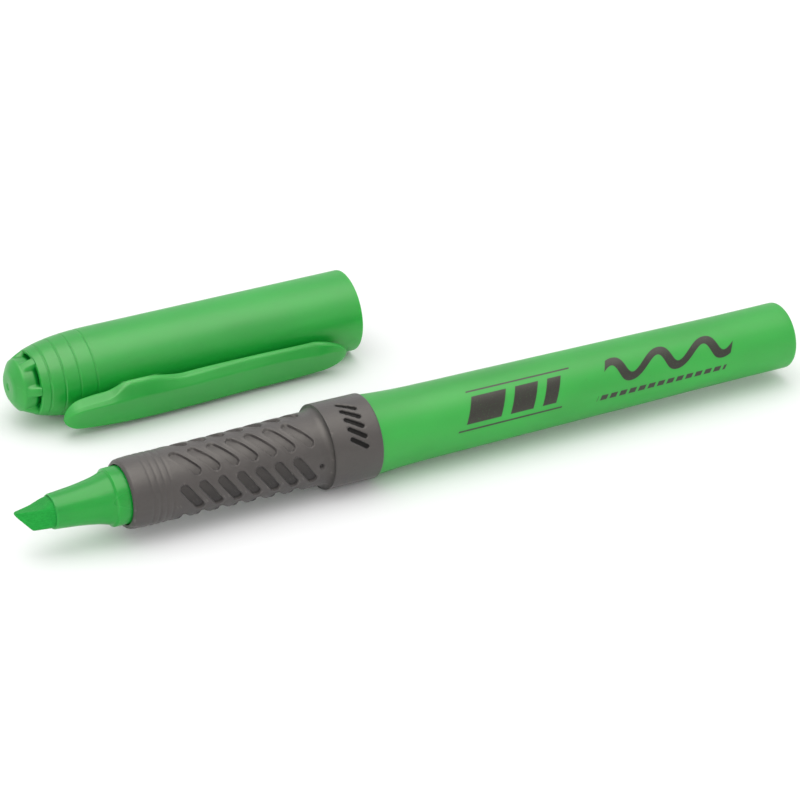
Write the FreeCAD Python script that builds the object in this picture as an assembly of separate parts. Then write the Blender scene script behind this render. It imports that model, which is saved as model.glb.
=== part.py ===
"""Grip highlighter with its cap lying beside it.

The pen lies along X with its nib towards -X. The origin is on the pen's axis, in the
front face of the collar, where the mouth of the cap stops. The cap lies parallel to
the pen at +Y, its closed end towards -X. All lengths are in millimetres.
"""
import FreeCAD, Part
import math
import os

Vector = FreeCAD.Vector
ORIGIN = Vector(0, 0, 0)
X_AXIS = Vector(1, 0, 0)
FULL_TURN = 360.0

# pen, as distances along X from the collar's front face
NIB_TIP = -49.5
REAR_END = 81.5
NOSE_LIP = -43.9
GRIP_FRONT = -32.7
BARREL_FRONT = -31.9
COLLAR_LENGTH = 7.7

# nib
NIB_R = 2.5
NIB_TIP_R = 1.95
NIB_TAIL = -18.0
NIB_TAPER_END = -43.0
NIB_POINT_Z = (0.8, 1.2)
NIB_HEEL_X = -46.9
NIB_HEEL_Z = -2.1
NIB_SHOULDER_Z = 2.0
NIB_TIP_HALF = 0.35
NIB_NECK = -22.5
NIB_TAIL_R = 2.3
NIB_TAIL_CHAMFER = 0.5

# nose section
NOSE_LIP_R = 2.78
NOSE_LIP_EDGE = 0.2
NOSE_CONE = [(-41.5, 2.95), (-39.5, 3.12), (-38.0, 3.3), (-36.5, 3.58), (-35.1, 3.95)]
SEAL_RING = [(-34.75, 4.1), (-34.6, 4.32), (-34.3, 4.43)]
SEAL_RING_X = -33.9
SEAL_RING_R = 4.45
SPIGOT_R = 3.85
SPIGOT_END = -25.5
SPIGOT_CHAMFER = 0.4

# barrel
BARREL_GRIP_R = 4.65
BARREL_COLLAR_R = 5.75
BARREL_STEP_X = 1.2
SHOULDER_R = 6.25
SHOULDER = [(10.2, 6.06), (13.8, 5.87), (19.0, 5.77), (26.0, 5.71)]
REAR_R = 5.25
REAR_LAND = 8.0
REAR_ROUND = 0.7
FRONT_BORE_R = 3.85
REAR_BORE_R = 4.4
BORE_CHANGE = (1.0, 3.0)
RIB_WIDTH = 0.8
RIB_SPAN = (4.0, 70.0)
RIB_ANGLES = (45.0, 135.0, 225.0, 315.0)

# grip sleeve
GRIP_LIP_R = 4.6
GRIP_RIM = [(-32.7, 4.78), (-32.55, 5.06), (-32.1, 5.25), (-31.2, 5.35)]
GRIP_R = 5.4
GRIP_SWELL = [(-25.0, 5.4), (-18.0, 5.44), (-10.0, 5.58)]
GRIP_LAND_R = 5.7
LAND_START = -2.8
COLLAR_R = 6.6
COLLAR_EDGE = 0.3
RIDGE_FIRST = -29.6
RIDGE_PITCH = 1.05
RIDGE_COUNT = 4
RIDGE_DEPTH = 0.09
RIDGE_HALF = 0.3
SLOT_ROWS = 6
SLOTS_PER_ROW = 7
SLOT_PITCH = 3.06
SLOT_FIRST = -23.35
SLOT_ROW_START = 33.0
SLOT_LENGTH = 5.7
SLOT_WIDTH = 1.5
SLOT_SLANT = 35.0
SLOT_FLOOR_R = 5.02
COLLAR_BARS = 5
COLLAR_BAR_STEP = 14.0
COLLAR_BAR_FIRST = 12.0
COLLAR_BAR_SIZE = (3.4, 0.8)
COLLAR_BAR_DEPTH = 0.25
COLLAR_TAPER = 0.05

# ink and air
FIBRE_R = 3.55
FILM_R = 3.7
FILM_WALL = 0.12
FILM_GAP = 0.03
RESERVOIR_SPAN = (-22.0, 72.0)
CHANNEL_Z = -3.2
CHANNEL_R = 0.7
TUBE_R = 0.55
TUBE_BORE_R = 0.3
TUBE_START = -24.9
TUBE_LENGTH = 24.0

# rear plug
PLUG_START = 77.3
PLUG_WALL = 0.9
PLUG_END_WALL = 1.2
PLUG_EDGE = 0.2

# cap, as distances along the cap towards its mouth
CAP_LENGTH = 59.5
CAP_MOUTH_X = 24.7
CAP_OFFSET_Y = 39.8
CAP_R = 6.55
CAP_BORE_R = 5.85
CAP_END_LENGTH = 17.0
CAP_END_BLUNTNESS = (2.6, 2.2)
BUTTON = [(1.3, 1.9), (1.42, 2.35), (1.65, 2.78), (1.95, 3.28), (2.25, 3.72)]
SHELL_START = 4.85
SHELL_START_R = 4.45
SHELL_BORE = [(27.2, CAP_BORE_R), (26.8, 5.78), (20.0, 5.72), (13.0, 5.5), (8.0, 4.85)]
GROOVES = (6.3, 8.5, 10.9, 13.6)
GROOVE_WIDTH = 0.26
GROOVE_DEPTH = 0.1
MOUTH_CHAMFER = 0.3
MOUTH_EDGE = 0.15

# inner cap
NECK_R = 3.35
LINER_R = 5.1
LINER_BORE_R = 4.5
LINER_END = 26.6
LINER_CHAMFER = 0.25
LINER_OUTSIDE = [(2.8, NECK_R), (6.8, NECK_R), (9.0, 4.3), (12.5, LINER_R)]
LINER_INSIDE = [(13.0, LINER_BORE_R), (10.0, 3.4), (8.0, 2.4), (3.0, 2.4), (2.8, 2.2), (2.8, 0)]
TEETH = 6
TOOTH_ANGLE = 21.0
TOOTH_FIRST = 24.0
TOOTH_SPAN = (2.6, 7.0)
TOOTH_ROOT = 0.4
TOOTH_SEAT_R = 4.71
LINER_RIBS = 3
LINER_RIB_WIDTH = 1.0
LINER_RIB_SPAN = (13.0, 22.0)
LINER_RIB_TOP_R = 5.5

# clip, whose middle plane is turned down from the side that faces -Y
CLIP_TURN = 20.0
CLIP_FOOT_BASE = (15.2, 25.0)
CLIP_FOOT_TOP = (17.8, 22.0)
CLIP_FOOT_R = 8.15
CLIP_FOOT_HALF = 2.1
CLIP_UNDERSIDE = [
    (6.75, 9.3), (7.1, 8.95), (7.8, 8.65), (9.5, 8.4), (13.0, 8.15), (22.0, 8.15), (28.0, 8.1),
    (40.0, 7.7), (47.0, 7.45), (48.6, 7.3), (50.0, 7.15), (51.8, 7.5), (55.2, 8.3),
]
CLIP_TOP = [
    (55.6, 8.55), (55.2, 8.9), (50.0, 9.2), (39.0, 9.55), (29.0, 10.15), (20.0, 10.4),
    (12.0, 10.35), (8.9, 10.1), (7.6, 9.85), (6.85, 9.6),
]
CLIP_EDGE = [
    (6.6, 0), (6.9, 1.1), (8.0, 1.8), (11.5, 2.35), (15.5, 2.65), (21.0, 2.75), (29.0, 2.8),
    (37.0, 2.95), (45.0, 3.0), (50.0, 2.85), (53.5, 2.3), (55.3, 1.2), (55.8, 0),
]
SHELL_SINK = 0.35


def section_edges(outline):
    """Edges through (x, r) points in the XZ plane; a nested list is one smooth curve."""
    edges = []
    last = None
    for item in outline:
        run = item if isinstance(item, list) else [item]
        points = [Vector(x, 0, r) for x, r in run]
        if last is not None and points[0].distanceToPoint(last) > 1e-6:
            edges.append(Part.LineSegment(last, points[0]).toShape())
        if len(points) > 1:
            curve = Part.BSplineCurve()
            curve.interpolate(points)
            edges.append(curve.toShape())
        last = points[-1]
    return edges


def turned(outline):
    """Solid of revolution about X of a closed outline of (x, r) points and curves."""
    first = outline[0][0] if isinstance(outline[0], list) else outline[0]
    wire = Part.Wire(section_edges(outline + [first]))
    solid = Part.Face(wire).revolve(ORIGIN, X_AXIS, FULL_TURN)
    return Part.Solid(solid) if solid.ShapeType == "Shell" else solid


def rod(x_start, x_end, radius, z=0.0):
    """Round rod along X."""
    return Part.makeCylinder(radius, x_end - x_start, Vector(x_start, 0, z), X_AXIS)


def about_x(shape, angle):
    """Copy of a shape turned about the X axis."""
    copy = shape.copy()
    copy.rotate(ORIGIN, X_AXIS, angle)
    return copy


def prism_xz(points, half_width):
    """Prism of an (x, z) polygon, centred on Y."""
    corners = [Vector(x, -half_width, z) for x, z in points]
    face = Part.Face(Part.makePolygon(corners + corners[:1]))
    return face.extrude(Vector(0, 2 * half_width, 0))


def prism_xy(points, z_low, z_high):
    """Prism of an (x, y) polygon between two heights."""
    corners = [Vector(x, y, z_low) for x, y in points]
    face = Part.Face(Part.makePolygon(corners + corners[:1]))
    return face.extrude(Vector(0, 0, z_high - z_low))


def chisel_nib():
    """Felt rod, flattened at the sides and cut to a slanted writing face."""
    clear = 8.0
    point_low, point_high = NIB_POINT_Z
    body = turned([
        (NIB_TIP, 0), (NIB_TIP, NIB_TIP_R), (NIB_TAPER_END, NIB_R),
        (NIB_NECK, NIB_R), (NIB_NECK, NIB_TAIL_R), (NIB_TAIL - NIB_TAIL_CHAMFER, NIB_TAIL_R),
        (NIB_TAIL, NIB_TAIL_R - NIB_TAIL_CHAMFER), (NIB_TAIL, 0),
    ])
    writing_face = prism_xz([
        (NIB_TIP, point_low), (NIB_HEEL_X, NIB_HEEL_Z),
        (NIB_HEEL_X, -clear), (NIB_TIP - clear, -clear), (NIB_TIP - clear, point_low),
    ], clear)
    top_bevel = prism_xz([
        (NIB_TIP, point_high), (NIB_TAPER_END, NIB_SHOULDER_Z),
        (NIB_TAPER_END, clear), (NIB_TIP - clear, clear), (NIB_TIP - clear, point_high),
    ], clear)
    body = body.cut(writing_face).cut(top_bevel)
    for side in (-1, 1):
        flat = prism_xy([
            (NIB_TIP, side * NIB_TIP_HALF), (NIB_TAPER_END, side * NIB_R),
            (NIB_TAPER_END, side * clear), (NIB_TIP, side * clear),
        ], -clear, clear)
        body = body.cut(flat)
    return body


def nose_section():
    """Nib holder: lip, cone, sealing ring and the spigot that plugs into the barrel."""
    return turned([
        (NOSE_LIP, NIB_R), (NOSE_LIP, NOSE_LIP_R - NOSE_LIP_EDGE),
        [(NOSE_LIP + NOSE_LIP_EDGE, NOSE_LIP_R)] + NOSE_CONE,
        SEAL_RING + [(SEAL_RING_X, SEAL_RING_R)],
        (BARREL_FRONT, SEAL_RING_R), (BARREL_FRONT, SPIGOT_R),
        (SPIGOT_END - SPIGOT_CHAMFER, SPIGOT_R), (SPIGOT_END, SPIGOT_R - SPIGOT_CHAMFER),
        (SPIGOT_END, NIB_R),
    ])


def barrel():
    """Long tapered tube with a reduced front under the grip and ribs in its bore."""
    shoulder = [(COLLAR_LENGTH, SHOULDER_R)] + SHOULDER
    land = REAR_END - REAR_LAND
    turn = math.sqrt(0.5) * REAR_ROUND
    rounded = [
        (REAR_END - REAR_ROUND, REAR_R),
        (REAR_END - REAR_ROUND + turn, REAR_R - REAR_ROUND + turn),
        (REAR_END, REAR_R - REAR_ROUND),
    ]
    tube = turned([
        (BARREL_FRONT, FRONT_BORE_R), (BARREL_FRONT, BARREL_GRIP_R),
        (BARREL_STEP_X, BARREL_GRIP_R), (BARREL_STEP_X, BARREL_COLLAR_R),
        (COLLAR_LENGTH, BARREL_COLLAR_R), shoulder, (land, REAR_R), rounded,
        (REAR_END, REAR_BORE_R), (BORE_CHANGE[1], REAR_BORE_R),
        (BORE_CHANGE[0], FRONT_BORE_R),
    ])
    sunk = 0.1
    rib_box = (RIB_SPAN[1] - RIB_SPAN[0], RIB_WIDTH, REAR_BORE_R - FRONT_BORE_R + sunk)
    for angle in RIB_ANGLES:
        rib = Part.makeBox(*rib_box, Vector(RIB_SPAN[0], -RIB_WIDTH / 2, FRONT_BORE_R))
        tube = tube.fuse(about_x(rib, angle))
    return tube.removeSplitter()


def stadium(length, width, height):
    """Round-ended bar standing along +Z, its length along Y."""
    straight = length - width
    block = Part.makeBox(width, straight, height, Vector(-width / 2, -straight / 2, 0))
    ends = [
        Part.makeCylinder(width / 2, height, Vector(0, side * straight / 2, 0))
        for side in (-1, 1)
    ]
    return block.fuse(ends).removeSplitter()


def engraver(length, width, slant, floor_r):
    """Round-ended cutter for a slanted recess down to a round floor."""
    bar = stadium(length, width, COLLAR_R + 1)
    bar.rotate(ORIGIN, Vector(0, 0, 1), slant)
    return bar.cut(rod(-length, length, floor_r))


def slot_cutters():
    """Cutters for the rows of slanted slots round the grip."""
    bar = engraver(SLOT_LENGTH, SLOT_WIDTH, SLOT_SLANT, SLOT_FLOOR_R)
    cutters = []
    for row in range(SLOT_ROWS):
        for number in range(SLOTS_PER_ROW):
            slot = about_x(bar, SLOT_ROW_START + row * FULL_TURN / SLOT_ROWS)
            slot.translate(Vector(SLOT_FIRST + number * SLOT_PITCH, 0, 0))
            cutters.append(slot)
    return cutters


def collar_cutters():
    """Cutters for the short bars engraved in the collar."""
    length, width = COLLAR_BAR_SIZE
    bar = engraver(length, width, 90 - SLOT_SLANT, COLLAR_R - COLLAR_BAR_DEPTH)
    cutters = []
    for number in range(COLLAR_BARS):
        mark = about_x(bar, COLLAR_BAR_FIRST + number * COLLAR_BAR_STEP)
        mark.translate(Vector(COLLAR_LENGTH / 2, 0, 0))
        cutters.append(mark)
    return cutters


def grip_sleeve():
    """Rubber sleeve: rounded rim, fine ridges, slanted slots, cap land and collar."""
    ridges = []
    for number in range(RIDGE_COUNT):
        x = RIDGE_FIRST + number * RIDGE_PITCH
        ridges.append([(x - RIDGE_HALF, GRIP_R), (x, GRIP_R - RIDGE_DEPTH), (x + RIDGE_HALF, GRIP_R)])
    swell = GRIP_SWELL + [(LAND_START, GRIP_LAND_R)]
    sleeve = turned(
        [(BARREL_FRONT, BARREL_GRIP_R), (BARREL_FRONT, GRIP_LIP_R), (GRIP_FRONT, GRIP_LIP_R)]
        + [GRIP_RIM]
        + ridges
        + [
            swell, (0, GRIP_LAND_R), (0, COLLAR_R - COLLAR_EDGE),
            (COLLAR_EDGE, COLLAR_R), (COLLAR_LENGTH - COLLAR_EDGE, COLLAR_R - COLLAR_TAPER),
            (COLLAR_LENGTH, COLLAR_R - COLLAR_EDGE), (COLLAR_LENGTH, BARREL_COLLAR_R),
            (BARREL_STEP_X, BARREL_COLLAR_R), (BARREL_STEP_X, BARREL_GRIP_R),
        ]
    )
    return sleeve.cut(slot_cutters() + collar_cutters())


def ink_reservoir():
    """Fibre rod with a socket for the nib's tail and the air channel along it."""
    start, end = RESERVOIR_SPAN
    channel = rod(start, end, CHANNEL_R + FILM_WALL + FILM_GAP, CHANNEL_Z)
    return rod(start, end, FIBRE_R).cut(channel).cut(rod(start, NIB_TAIL, NIB_TAIL_R))


def reservoir_film():
    """Thin film round the fibre rod, pressed into the air channel."""
    start, end = RESERVOIR_SPAN
    outside = rod(start, end, FILM_R).cut(rod(start, end, CHANNEL_R, CHANNEL_Z))
    inside = rod(start, end, FILM_R - FILM_WALL).cut(
        rod(start, end, CHANNEL_R + FILM_WALL, CHANNEL_Z)
    )
    return outside.cut(inside)


def breather_tube():
    """Thin air tube, loose in the channel between the film and the barrel."""
    end = TUBE_START + TUBE_LENGTH
    outside = rod(TUBE_START, end, TUBE_R, CHANNEL_Z)
    return outside.cut(rod(TUBE_START, end, TUBE_BORE_R, CHANNEL_Z))


def rear_plug():
    """Cup pressed into the rear of the barrel, flush with its end."""
    inside_r = REAR_BORE_R - PLUG_WALL
    return turned([
        (PLUG_START, inside_r), (PLUG_START, REAR_BORE_R), (REAR_END - PLUG_EDGE, REAR_BORE_R),
        (REAR_END, REAR_BORE_R - PLUG_EDGE), (REAR_END, 0), (REAR_END - PLUG_END_WALL, 0),
        (REAR_END - PLUG_END_WALL, inside_r),
    ])


def cap_outline(x):
    """Radius of the cap's rounded end at a distance along the cap."""
    fullness, squareness = CAP_END_BLUNTNESS
    reach = min(x, CAP_END_LENGTH) / CAP_END_LENGTH
    return CAP_R * (1 - (1 - reach) ** fullness) ** (1 / squareness)


def outline_run(start, end, steps):
    """Points on the cap's outline, for one smooth curve."""
    stations = [start + (end - start) * step / steps for step in range(steps + 1)]
    return [(x, cap_outline(x)) for x in stations]


def cap_shell():
    """Outer tube with grooves round its rounded end, and the foot of the clip."""
    outside = []
    start = SHELL_START
    for groove in GROOVES:
        low = groove - GROOVE_WIDTH / 2
        high = groove + GROOVE_WIDTH / 2
        outside.append(outline_run(start, low, 4))
        outside.append((low, cap_outline(low) - GROOVE_DEPTH))
        outside.append((high, cap_outline(high) - GROOVE_DEPTH))
        start = high
    outside.append(outline_run(start, CAP_END_LENGTH, 4))
    mouth = [
        (CAP_LENGTH - MOUTH_EDGE, CAP_R), (CAP_LENGTH, CAP_R - MOUTH_EDGE),
        (CAP_LENGTH, CAP_BORE_R + MOUTH_CHAMFER), (CAP_LENGTH - MOUTH_CHAMFER, CAP_BORE_R),
    ]
    shell = turned(outside + mouth + SHELL_BORE + [(SHELL_START, SHELL_START_R)])
    foot = clip_foot().cut(rod(0, CAP_LENGTH, CAP_R - SHELL_SINK))
    return shell.fuse(foot).removeSplitter()


def clip_foot():
    """Low hump between the shell and the underside of the clip, standing along +Z."""
    base_start, base_end = CLIP_FOOT_BASE
    top_start, top_end = CLIP_FOOT_TOP
    return prism_xz([
        (base_start, 0), (base_start, CAP_R), (top_start, CLIP_FOOT_R),
        (top_end, CLIP_FOOT_R), (base_end, CAP_R), (base_end, 0),
    ], CLIP_FOOT_HALF)


def tooth_band():
    """Ring between the button and the shell, from which the teeth are cut."""
    low, high = TOOTH_SPAN
    root_r = NECK_R - TOOTH_ROOT
    return turned(
        [(low, root_r), (low, cap_outline(low)), outline_run(low, SHELL_START, 4)]
        + [(SHELL_START, SHELL_START_R), (high, TOOTH_SEAT_R), (high, root_r)]
    )


def inner_cap():
    """Sealing cup for the nose; its notched button closes the end of the shell."""
    low, high = TOOTH_SPAN
    cup = turned(
        [(BUTTON[0][0], 0), BUTTON + [(low, cap_outline(low))]]
        + LINER_OUTSIDE
        + [
            (LINER_END, LINER_R), (LINER_END, LINER_BORE_R + LINER_CHAMFER),
            (LINER_END - LINER_CHAMFER, LINER_BORE_R),
        ]
        + LINER_INSIDE
    )
    band = tooth_band()
    for tooth in range(TEETH):
        wedge = Part.makeCylinder(CAP_R, high, Vector(low - 1, 0, 0), X_AXIS, TOOTH_ANGLE)
        wedge = about_x(wedge, TOOTH_FIRST + tooth * FULL_TURN / TEETH - TOOTH_ANGLE / 2)
        cup = cup.fuse(band.common(wedge))
    start, end = LINER_RIB_SPAN
    rib_base = Vector(start, -LINER_RIB_WIDTH / 2, LINER_BORE_R + LINER_CHAMFER)
    rib = Part.makeBox(end - start, LINER_RIB_WIDTH, CAP_R, rib_base)
    rib = rib.common(rod(start, end, LINER_RIB_TOP_R))
    for number in range(LINER_RIBS):
        cup = cup.fuse(about_x(rib, number * FULL_TURN / LINER_RIBS))
    return cup.removeSplitter()


def cap_clip():
    """Pocket clip standing along +Z: bulb, long tapered blade and a nub near its tip."""
    side = prism_xz(CLIP_UNDERSIDE + CLIP_TOP, CAP_R)
    mirrored = [(x, -y) for x, y in reversed(CLIP_EDGE[1:-1])]
    curve = Part.BSplineCurve()
    curve.interpolate([Vector(x, y, 0) for x, y in CLIP_EDGE + mirrored], PeriodicFlag=True)
    plan = Part.Face(Part.Wire(curve.toShape())).extrude(Vector(0, 0, 2 * CAP_R))
    return side.common(plan)


def placed_in_cap(shape, turn=0.0):
    """Moves a shape from the cap's own frame to where the cap lies."""
    copy = about_x(shape, turn)
    copy.translate(Vector(CAP_MOUTH_X - CAP_LENGTH, CAP_OFFSET_Y, 0))
    return copy


def main():
    clip_turn = 90.0 + CLIP_TURN
    foot_and_shell = about_x(cap_shell(), clip_turn)
    nodes = {
        "chisel_nib": chisel_nib(),
        "nose_section": nose_section(),
        "grip_sleeve": grip_sleeve(),
        "barrel": barrel(),
        "rear_plug": rear_plug(),
        "ink_reservoir": ink_reservoir(),
        "reservoir_film": reservoir_film(),
        "breather_tube": breather_tube(),
        "cap_shell": placed_in_cap(foot_and_shell),
        "inner_cap": placed_in_cap(inner_cap()),
        "cap_clip": placed_in_cap(cap_clip(), clip_turn),
    }
    os.makedirs("parts", exist_ok=True)
    for name, shape in nodes.items():
        shape.exportStep("parts/%s.step" % name)
        box = shape.BoundBox
        print(
            "%-15s valid %s solids %d volume %.1f x %.2f..%.2f y %.2f..%.2f z %.2f..%.2f" % (
                name, shape.isValid(), len(shape.Solids), shape.Volume,
                box.XMin, box.XMax, box.YMin, box.YMax, box.ZMin, box.ZMax,
            )
        )


main()
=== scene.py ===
import math

import bmesh
import bpy
import numpy as np
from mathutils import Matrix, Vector


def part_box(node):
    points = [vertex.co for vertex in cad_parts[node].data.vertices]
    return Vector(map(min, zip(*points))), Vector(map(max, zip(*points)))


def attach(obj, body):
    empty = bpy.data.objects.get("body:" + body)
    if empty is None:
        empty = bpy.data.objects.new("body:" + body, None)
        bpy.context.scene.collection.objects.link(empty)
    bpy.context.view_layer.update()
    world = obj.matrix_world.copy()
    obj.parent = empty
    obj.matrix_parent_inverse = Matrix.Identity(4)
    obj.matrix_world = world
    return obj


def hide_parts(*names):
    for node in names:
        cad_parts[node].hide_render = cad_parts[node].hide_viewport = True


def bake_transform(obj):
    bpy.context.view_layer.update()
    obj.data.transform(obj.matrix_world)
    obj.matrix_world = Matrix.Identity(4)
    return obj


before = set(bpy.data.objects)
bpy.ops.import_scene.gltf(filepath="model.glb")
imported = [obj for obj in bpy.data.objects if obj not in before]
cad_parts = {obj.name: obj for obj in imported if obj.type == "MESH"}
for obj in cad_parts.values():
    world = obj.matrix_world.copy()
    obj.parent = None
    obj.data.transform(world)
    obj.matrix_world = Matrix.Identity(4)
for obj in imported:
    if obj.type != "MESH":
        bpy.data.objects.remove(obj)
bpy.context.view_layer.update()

# A grip highlighter with its pull cap lying beside it.
#
# Shapes are worked out in millimetres, and every mesh is made in metres. Angles round the pen
# and round the cap are measured from +Z towards -Y. Distances along the cap count from the
# closed end of its outline towards its mouth. An outline is a list of (x, r) points, and a
# third number at a point is the radius that rounds that corner. The edge of a recess is a pair
# of distances outside its outline: where it is at full depth, and where it ends.
MM = 0.001
TURN = 2 * math.pi


def extent(node):
    """Lowest and highest corner of a CAD node, in millimetres."""
    low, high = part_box(node)
    return low / MM, high / MM


# pen, from the frame
NIB_TIP = extent("chisel_nib")[0].x
NIB_TAIL = extent("chisel_nib")[1].x
NIB_R = extent("chisel_nib")[1].y
NOSE_LIP = extent("nose_section")[0].x
SPIGOT_END = extent("nose_section")[1].x
SEAL_R = extent("nose_section")[1].y
GRIP_FRONT = extent("grip_sleeve")[0].x
COLLAR_END = extent("grip_sleeve")[1].x
COLLAR_R = extent("grip_sleeve")[1].y
BARREL_FRONT = extent("barrel")[0].x
REAR_END = extent("barrel")[1].x
SHOULDER_R = extent("barrel")[1].y
PLUG_START = extent("rear_plug")[0].x
PLUG_R = extent("rear_plug")[1].y
TABLE_Z = extent("grip_sleeve")[0].z

# cap, from the frame and the length of its outline
CAP_LENGTH = 59.5
CAP_END_X = extent("cap_shell")[1].x - CAP_LENGTH
CAP_R = extent("cap_shell")[1].z
CAP_Y = extent("cap_shell")[1].y - CAP_R
SHELL_START = extent("cap_shell")[0].x - CAP_END_X
BUTTON_START = extent("inner_cap")[0].x - CAP_END_X
LINER_END = extent("inner_cap")[1].x - CAP_END_X
CLIP_START = extent("cap_clip")[0].x - CAP_END_X
CLIP_END = extent("cap_clip")[1].x - CAP_END_X

# barrel
BARREL_GRIP_R = 4.65
BARREL_COLLAR_R = 5.75
BARREL_STEP_X = 1.2
BORE_FRONT_R = 3.85
BORE_REAR_R = 4.4
BORE_RIB_START = 4.0
BORE_RIB_END = 70.0
BORE_RIB_FADE = 0.2
BORE_RIB_HALF = 0.4
BORE_RIBS = 4
REAR_R = 5.25
REAR_LAND = 8.0

# grip: the flank is the hollow rise to the collar, and all that lies beyond SKIN_R is outside
GRIP_BORE_R = 4.6
GRIP_NECK_R = 5.4
GRIP_LAND_R = 5.7
SKIN_R = 5.02
SLOTTED_START = -26.0
LAND_START = -2.8
FLANK_END = -0.45
FLANK_LENGTH = 1.2
FLANK_HEIGHT = 0.84
RIDGE_FIRST = -29.6
RIDGE_PITCH = 1.05
RIDGE_COUNT = 4
RIDGE_DEPTH = 0.09
RIDGE_HALF = 0.17
SLOT_ROWS = 6
SLOTS_PER_ROW = 7
SLOT_PITCH = 3.06
SLOT_FIRST = -23.35
SLOT_ROW_START = math.radians(33)
SLOT_SIZE = (5.7, 1.5)
SLOT_SLANT = math.radians(35)
SLOT_DEPTH = 0.36
SLOT_EDGE = (-0.12, 0.04)
SLOT_LIP_HEIGHT = 0.04
SLOT_LIP_PLACE = 0.2
SLOT_LIP_HALF = 0.16
GATE_X = -2.3
GATE_TURN = math.radians(92)
GATE_DEPTH = 0.4
GATE_EDGE = (0.2, 0.5)
COLLAR_BARS = 5
COLLAR_BAR_FIRST = math.radians(12)
COLLAR_BAR_STEP = math.radians(14)
COLLAR_BAR_SIZE = (3.4, 0.8)
COLLAR_BAR_DEPTH = 0.38
COLLAR_BAR_EDGE = (-0.16, 0.03)

# cap shell and inner cap: the powers shape the rounded end, where 2 and 2 make an ellipse
CAP_BORE_R = 5.85
CAP_ROUND_LENGTH = 17.0
CAP_ROUND_POWERS = (2.6, 2.2)
GROOVES = (6.3, 8.5, 10.9, 13.6)
GROOVE_DEPTH = 0.11
GROOVE_HALF = 0.14
NECK_R = 3.35
LINER_R = 5.1
LINER_BORE_R = 4.5
TEETH = 6
TOOTH_HALF = math.radians(10.5)
TOOTH_FIRST = math.radians(24)
TOOTH_START = 2.6
TOOTH_END = 7.0
TOOTH_EDGE = 0.08
TOOTH_SEAT_R = 4.45
TOOTH_SEAT_SLOPE = 0.121
NOTCH_RISE = 0.75

# clip: the foot is the hump on the shell that carries it, and it bends behind the foot; a rise
# and a fall are where a hump starts and ends along the cap
CLIP_TURN = math.radians(20)
FOOT_RISE = (16.6, 19.4)
FOOT_FALL = (20.6, 24.6)
FOOT_R = 8.35
FOOT_HALF = math.radians(18)
FOOT_EDGE = 0.04
BULGE = 1.4
BULGE_RISE = (13.8, 17.6)
BULGE_FALL = (20.0, 27.5)
CLIP_CROWN = 0.1

# print on the barrel, along it and round it from PRINT_TURN; swatches are (middle, half length)
PRINT_R = 5.6
PRINT_TURN = math.radians(62)
PRINT_LEAN = 0.45
PRINT_BLUR = 0.05
SWATCHES = ((26.0, 3.0), (32.6, 2.0), (37.4, 1.2))
SWATCH_MIDDLE = -0.1
SWATCH_HALF = 2.0
RULES = (-3.0, 2.8)
RULE_MIDDLE = 31.0
RULE_LENGTH_HALF = 9.0
RULE_HALF = 0.14
WAVE_MIDDLE = 58.0
WAVE_LENGTH_HALF = 11.6
WAVE_PER_MM = 0.76
WAVE_HEIGHT = 1.5
WAVE_LIFT = 0.9
STROKE_HALF = 0.85
STROKE_SWELL = 0.2
DASH_PLACE = 3.0
DASH_WIDTH_HALF = 0.42
DASH_PITCH_HALF = 0.85
DASH_HALF = 0.6


# ---------------------------------------------------------------- outlines


def smooth_value(points, at):
    """Values at given places on a smooth curve through (place, value) points."""
    places, values = np.array(points, float).T
    slopes = np.gradient(values, places)
    left = np.clip(np.searchsorted(places, at, side="right") - 1, 0, len(places) - 2)
    width = places[left + 1] - places[left]
    t = (at - places[left]) / width
    start_share = 2 * t**3 - 3 * t**2 + 1
    return (
        start_share * values[left]
        + (t**3 - 2 * t**2 + t) * width * slopes[left]
        + (1 - start_share) * values[left + 1]
        + (t**3 - t**2) * width * slopes[left + 1]
    )


def smooth_run(points, spacing):
    """Points on a smooth curve through (x, r) points whose x grows."""
    start, end = points[0][0], points[-1][0]
    at = np.linspace(start, end, max(3, round((end - start) / spacing) + 1))
    return list(zip(at, smooth_value(points, at)))


def straight(start, end, spacing):
    """Points on a straight line between two (x, r) points, both ends left out."""
    a, b = np.array(start, float), np.array(end, float)
    steps = max(1, round(np.linalg.norm(b - a) / spacing))
    return [tuple(a + (b - a) * step / steps) for step in range(1, steps)]


def filleted(outline, steps=5):
    """Closed outline whose corners given as (x, r, radius) are rounded by arcs."""
    dense = []
    for number, corner in enumerate(outline):
        here = np.array(corner[:2], float)
        if len(corner) == 2:
            dense.append(tuple(here))
            continue
        before = np.array(outline[number - 1][:2], float) - here
        after = np.array(outline[(number + 1) % len(outline)][:2], float) - here
        before /= np.linalg.norm(before)
        after /= np.linalg.norm(after)
        half = math.acos(float(np.clip(before @ after, -1, 1))) / 2
        middle = before + after
        centre = here + middle / np.linalg.norm(middle) * corner[2] / math.sin(half)
        reach = corner[2] / math.tan(half)
        first = here + before * reach - centre
        last = here + after * reach - centre
        sweep = math.pi - 2 * half
        for step in range(steps + 1):
            share = step / steps
            arm = math.sin((1 - share) * sweep) * first + math.sin(share * sweep) * last
            dense.append(tuple(centre + arm / math.sin(sweep)))
    return dense


def smoothstep(value, low, high):
    """0 below low, 1 above high and a smooth rise between them."""
    t = np.clip((value - low) / (high - low), 0, 1)
    return t * t * (3 - 2 * t)


def wrapped(angle, period=TURN):
    """Angle brought to within half a period of 0."""
    return (angle + period / 2) % period - period / 2


# ---------------------------------------------------------------- meshes


def placed(name, data):
    """Object in the scene that shows a mesh, a light or a camera."""
    made = bpy.data.objects.new(name, data)
    bpy.context.scene.collection.objects.link(made)
    return made


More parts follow.
